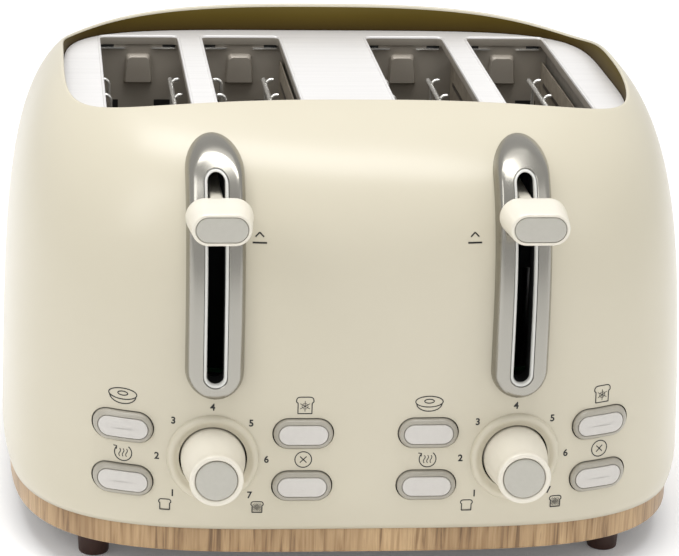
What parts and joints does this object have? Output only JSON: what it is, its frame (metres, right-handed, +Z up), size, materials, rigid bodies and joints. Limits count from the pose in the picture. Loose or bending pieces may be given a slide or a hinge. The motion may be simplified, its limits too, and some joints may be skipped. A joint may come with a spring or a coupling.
{
  "type": "pop-up toaster",
  "caption": "Rounded four-slice pop-up toaster with two levers, two browning dials, press buttons and pull-out crumb trays, on a wood-look base band.",
  "frame": {"origin": "middle of the footprint at the surface the feet stand on", "axes": "+Z up, front with levers and dials towards -Y, +X to the right as seen from the front"},
  "size_m": [0.3008, 0.3206, 0.197],
  "materials": {
    "cream_paint": "gloss",
    "oak_band": "satin",
    "base_plastic": "matte",
    "foot_plastic": "matte",
    "satin_steel": "satin",
    "sheet_steel": "satin",
    "mica": "matte",
    "heating_ribbon": "satin",
    "rod_steel": "satin",
    "gland_rubber": "matte",
    "satin_chrome": "satin",
    "liner_grey": "satin",
    "cream_plastic": "gloss",
    "cap_grey": "satin",
    "board_green": "satin",
    "frame_plastic": "matte",
    "magnet_metal": "satin",
    "button_grey": "satin",
    "wire_chrome": "gloss"
  },
  "bodies": {
    "casing": {"outer_shell": "cream_paint", "wood_band": "oak_band", "base_pan": "base_plastic", "feet": "foot_plastic", "top_plate": "satin_steel", "front_bulkhead": "sheet_steel", "rear_bulkhead": "sheet_steel", "side_reflectors": "sheet_steel", "centre_reflectors": "sheet_steel", "heater_cards": "mica", "heater_windings": "heating_ribbon", "carriage_rods": "rod_steel", "base_screws": "rod_steel", "cord_gland": "gland_rubber", "bezel_left": "satin_chrome", "track_liner_left": "liner_grey", "dial_ring_left": "cream_plastic", "lift_spring_left": "rod_steel", "control_board_left": "board_green", "button_frame_left": "frame_plastic", "latch_magnet_left": "magnet_metal", "bezel_right": "satin_chrome", "track_liner_right": "liner_grey", "dial_ring_right": "cream_plastic", "lift_spring_right": "rod_steel", "control_board_right": "board_green", "button_frame_right": "frame_plastic", "latch_magnet_right": "magnet_metal"},
    "left_lever": {"carriage_left": "sheet_steel", "bread_racks_left": "sheet_steel", "lever_arm_left": "cream_plastic", "lever_knob_left": "cream_plastic", "lever_cap_left": "cap_grey"},
    "left_guides_near": {"bread_guide_left_near": "wire_chrome"},
    "left_guides_far": {"bread_guide_left_far": "wire_chrome"},
    "left_dial": {"browning_knob_left": "cream_plastic", "knob_cap_left": "cap_grey", "knob_spindle_left": "frame_plastic"},
    "left_bagel_button": {"bagel_button_left": "button_grey"},
    "left_reheat_button": {"reheat_button_left": "button_grey"},
    "left_defrost_button": {"defrost_button_left": "button_grey"},
    "left_cancel_button": {"cancel_button_left": "button_grey"},
    "left_crumb_tray": {"crumb_tray_left": "sheet_steel"},
    "right_lever": {"carriage_right": "sheet_steel", "bread_racks_right": "sheet_steel", "lever_arm_right": "cream_plastic", "lever_knob_right": "cream_plastic", "lever_cap_right": "cap_grey"},
    "right_guides_near": {"bread_guide_right_near": "wire_chrome"},
    "right_guides_far": {"bread_guide_right_far": "wire_chrome"},
    "right_dial": {"browning_knob_right": "cream_plastic", "knob_cap_right": "cap_grey", "knob_spindle_right": "frame_plastic"},
    "right_bagel_button": {"bagel_button_right": "button_grey"},
    "right_reheat_button": {"reheat_button_right": "button_grey"},
    "right_defrost_button": {"defrost_button_right": "button_grey"},
    "right_cancel_button": {"cancel_button_right": "button_grey"},
    "right_crumb_tray": {"crumb_tray_right": "sheet_steel"}
  },
  "joints": [
    {"name": "left_lever_slide", "type": "slide", "parent": "casing", "child": "left_lever", "axis": [0, 0, 1], "range_m": [-0.067, 0.007], "stiffness_N_per_m": 120, "springref_m": 0.015, "deforming": ["lift_spring_left"]},
    {"name": "left_guides_near_close", "type": "slide", "parent": "casing", "child": "left_guides_near", "axis": [1, 0, 0], "range_m": [-0.0005, 0.003]},
    {"name": "left_guides_far_close", "type": "slide", "parent": "casing", "child": "left_guides_far", "axis": [-1, 0, 0], "range_m": [-0.0005, 0.003]},
    {"name": "left_dial_turn", "type": "hinge", "parent": "casing", "child": "left_dial", "pos_m": [-0.0628, -0.14836, 0.0582], "axis": [0, -1, 0], "range_deg": [-135, 135]},
    {"name": "left_bagel_press", "type": "slide", "parent": "casing", "child": "left_bagel_button", "axis": [0, 1, 0], "range_m": [0, 0.0025], "stiffness_N_per_m": 300},
    {"name": "left_reheat_press", "type": "slide", "parent": "casing", "child": "left_reheat_button", "axis": [0, 1, 0], "range_m": [0, 0.0025], "stiffness_N_per_m": 300},
    {"name": "left_defrost_press", "type": "slide", "parent": "casing", "child": "left_defrost_button", "axis": [0, 1, 0], "range_m": [0, 0.0025], "stiffness_N_per_m": 300},
    {"name": "left_cancel_press", "type": "slide", "parent": "casing", "child": "left_cancel_button", "axis": [0, 1, 0], "range_m": [0, 0.0025], "stiffness_N_per_m": 300},
    {"name": "left_tray_pull", "type": "slide", "parent": "casing", "child": "left_crumb_tray", "axis": [0, 1, 0], "range_m": [0, 0.2]},
    {"name": "right_lever_slide", "type": "slide", "parent": "casing", "child": "right_lever", "axis": [0, 0, 1], "range_m": [-0.067, 0.007], "stiffness_N_per_m": 120, "springref_m": 0.015, "deforming": ["lift_spring_right"]},
    {"name": "right_guides_near_close", "type": "slide", "parent": "casing", "child": "right_guides_near", "axis": [1, 0, 0], "range_m": [-0.0005, 0.003]},
    {"name": "right_guides_far_close", "type": "slide", "parent": "casing", "child": "right_guides_far", "axis": [-1, 0, 0], "range_m": [-0.0005, 0.003]},
    {"name": "right_dial_turn", "type": "hinge", "parent": "casing", "child": "right_dial", "pos_m": [0.0628, -0.14836, 0.0582], "axis": [0, -1, 0], "range_deg": [-135, 135]},
    {"name": "right_bagel_press", "type": "slide", "parent": "casing", "child": "right_bagel_button", "axis": [0, 1, 0], "range_m": [0, 0.0025], "stiffness_N_per_m": 300},
    {"name": "right_reheat_press", "type": "slide", "parent": "casing", "child": "right_reheat_button", "axis": [0, 1, 0], "range_m": [0, 0.0025], "stiffness_N_per_m": 300},
    {"name": "right_defrost_press", "type": "slide", "parent": "casing", "child": "right_defrost_button", "axis": [0, 1, 0], "range_m": [0, 0.0025], "stiffness_N_per_m": 300},
    {"name": "right_cancel_press", "type": "slide", "parent": "casing", "child": "right_cancel_button", "axis": [0, 1, 0], "range_m": [0, 0.0025], "stiffness_N_per_m": 300},
    {"name": "right_tray_pull", "type": "slide", "parent": "casing", "child": "right_crumb_tray", "axis": [0, 1, 0], "range_m": [0, 0.2]}
  ],
  "couplings": [
    {"joint": "left_guides_near_close", "follows": "left_lever_slide", "ratio": -0.0447},
    {"joint": "left_guides_far_close", "follows": "left_lever_slide", "ratio": -0.0447},
    {"joint": "right_guides_near_close", "follows": "right_lever_slide", "ratio": -0.0447},
    {"joint": "right_guides_far_close", "follows": "right_lever_slide", "ratio": -0.0447}
  ]
}
